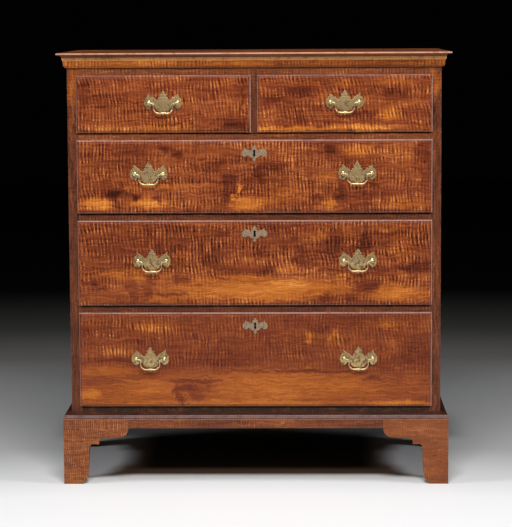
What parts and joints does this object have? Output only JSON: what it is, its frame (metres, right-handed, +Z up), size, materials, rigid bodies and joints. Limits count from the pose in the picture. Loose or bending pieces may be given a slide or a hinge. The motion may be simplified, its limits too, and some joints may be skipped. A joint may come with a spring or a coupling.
{
  "type": "chest of drawers",
  "caption": "Chest of drawers: short lipped drawers over long ones, under a cove cornice, on a moulded base with bracket feet, with shaped brass pulls and keyholes.",
  "frame": {"origin": "on the floor under the middle of the overall width and depth", "axes": "+X to the right as one faces the drawers, +Y to the back (the drawers open towards -Y), +Z up"},
  "size_m": [0.99, 0.495, 1.097],
  "materials": {
    "figured_maple": "aged shellac",
    "case_maple": "aged shellac",
    "pine": "bare, aged",
    "brass": "old polished brass",
    "iron": "blackened"
  },
  "bodies": {
    "case": {"case_side_left": "case_maple", "case_side_right": "case_maple", "front_stiles": "case_maple", "case_rails": "case_maple", "top_divider": "case_maple", "case_bottom": "pine", "backboards": "pine", "drawer_runners": "pine", "top_board": "case_maple", "cornice_molding": "case_maple", "base_molding": "case_maple", "base_skirt": "case_maple", "foot_front_left": "case_maple", "foot_front_right": "case_maple", "foot_rear_left": "case_maple", "foot_rear_right": "case_maple"},
    "drawer_1_left": {"drawer_1_left_front": "figured_maple", "drawer_1_left_sides": "pine", "drawer_1_left_back": "pine", "drawer_1_left_bottom": "pine", "drawer_1_left_brass_plates": "brass", "drawer_1_left_pull_posts": "brass"},
    "drawer_1_left_bail": {"drawer_1_left_bail": "brass"},
    "drawer_1_right": {"drawer_1_right_front": "figured_maple", "drawer_1_right_sides": "pine", "drawer_1_right_back": "pine", "drawer_1_right_bottom": "pine", "drawer_1_right_brass_plates": "brass", "drawer_1_right_pull_posts": "brass"},
    "drawer_1_right_bail": {"drawer_1_right_bail": "brass"},
    "drawer_2": {"drawer_2_front": "figured_maple", "drawer_2_sides": "pine", "drawer_2_back": "pine", "drawer_2_bottom": "pine", "drawer_2_brass_plates": "brass", "drawer_2_pull_posts": "brass", "drawer_2_lock": "iron"},
    "drawer_2_bail_left": {"drawer_2_bail_left": "brass"},
    "drawer_2_bail_right": {"drawer_2_bail_right": "brass"},
    "drawer_2_lock_bolt": {"drawer_2_lock_bolt": "iron"},
    "drawer_3": {"drawer_3_front": "figured_maple", "drawer_3_sides": "pine", "drawer_3_back": "pine", "drawer_3_bottom": "pine", "drawer_3_brass_plates": "brass", "drawer_3_pull_posts": "brass", "drawer_3_lock": "iron"},
    "drawer_3_bail_left": {"drawer_3_bail_left": "brass"},
    "drawer_3_bail_right": {"drawer_3_bail_right": "brass"},
    "drawer_3_lock_bolt": {"drawer_3_lock_bolt": "iron"},
    "drawer_4": {"drawer_4_front": "figured_maple", "drawer_4_sides": "pine", "drawer_4_back": "pine", "drawer_4_bottom": "pine", "drawer_4_brass_plates": "brass", "drawer_4_pull_posts": "brass", "drawer_4_lock": "iron"},
    "drawer_4_bail_left": {"drawer_4_bail_left": "brass"},
    "drawer_4_bail_right": {"drawer_4_bail_right": "brass"},
    "drawer_4_lock_bolt": {"drawer_4_lock_bolt": "iron"}
  },
  "joints": [
    {"name": "drawer_1_left_slide", "type": "slide", "parent": "case", "child": "drawer_1_left", "axis": [0, -1, 0], "range_m": [0, 0.33]},
    {"name": "drawer_1_left_bail_swing", "type": "hinge", "parent": "drawer_1_left", "child": "drawer_1_left_bail", "pos_m": [-0.228, -0.2401, 0.971], "axis": [-1, 0, 0], "range_deg": [-7, 165]},
    {"name": "drawer_1_right_slide", "type": "slide", "parent": "case", "child": "drawer_1_right", "axis": [0, -1, 0], "range_m": [0, 0.33]},
    {"name": "drawer_1_right_bail_swing", "type": "hinge", "parent": "drawer_1_right", "child": "drawer_1_right_bail", "pos_m": [0.228, -0.2401, 0.971], "axis": [-1, 0, 0], "range_deg": [-7, 165]},
    {"name": "drawer_2_slide", "type": "slide", "parent": "case", "child": "drawer_2", "axis": [0, -1, 0], "range_m": [0, 0.33]},
    {"name": "drawer_2_bail_left_swing", "type": "hinge", "parent": "drawer_2", "child": "drawer_2_bail_left", "pos_m": [-0.266, -0.2401, 0.79165], "axis": [-1, 0, 0], "range_deg": [-7, 165]},
    {"name": "drawer_2_bail_right_swing", "type": "hinge", "parent": "drawer_2", "child": "drawer_2_bail_right", "pos_m": [0.259, -0.2401, 0.79165], "axis": [-1, 0, 0], "range_deg": [-7, 165]},
    {"name": "drawer_2_lock_bolt_throw", "type": "slide", "parent": "drawer_2", "child": "drawer_2_lock_bolt", "axis": [0, 0, 1], "range_m": [0, 0.009]},
    {"name": "drawer_3_slide", "type": "slide", "parent": "case", "child": "drawer_3", "axis": [0, -1, 0], "range_m": [0, 0.33]},
    {"name": "drawer_3_bail_left_swing", "type": "hinge", "parent": "drawer_3", "child": "drawer_3_bail_left", "pos_m": [-0.26, -0.2401, 0.5705], "axis": [-1, 0, 0], "range_deg": [-7, 165]},
    {"name": "drawer_3_bail_right_swing", "type": "hinge", "parent": "drawer_3", "child": "drawer_3_bail_right", "pos_m": [0.261, -0.2401, 0.5705], "axis": [-1, 0, 0], "range_deg": [-7, 165]},
    {"name": "drawer_3_lock_bolt_throw", "type": "slide", "parent": "drawer_3", "child": "drawer_3_lock_bolt", "axis": [0, 0, 1], "range_m": [0, 0.009]},
    {"name": "drawer_4_slide", "type": "slide", "parent": "case", "child": "drawer_4", "axis": [0, -1, 0], "range_m": [0, 0.33]},
    {"name": "drawer_4_bail_left_swing", "type": "hinge", "parent": "drawer_4", "child": "drawer_4_bail_left", "pos_m": [-0.267, -0.2401, 0.3201], "axis": [-1, 0, 0], "range_deg": [-7, 165]},
    {"name": "drawer_4_bail_right_swing", "type": "hinge", "parent": "drawer_4", "child": "drawer_4_bail_right", "pos_m": [0.262, -0.2401, 0.3201], "axis": [-1, 0, 0], "range_deg": [-7, 165]},
    {"name": "drawer_4_lock_bolt_throw", "type": "slide", "parent": "drawer_4", "child": "drawer_4_lock_bolt", "axis": [0, 0, 1], "range_m": [0, 0.009]}
  ]
}
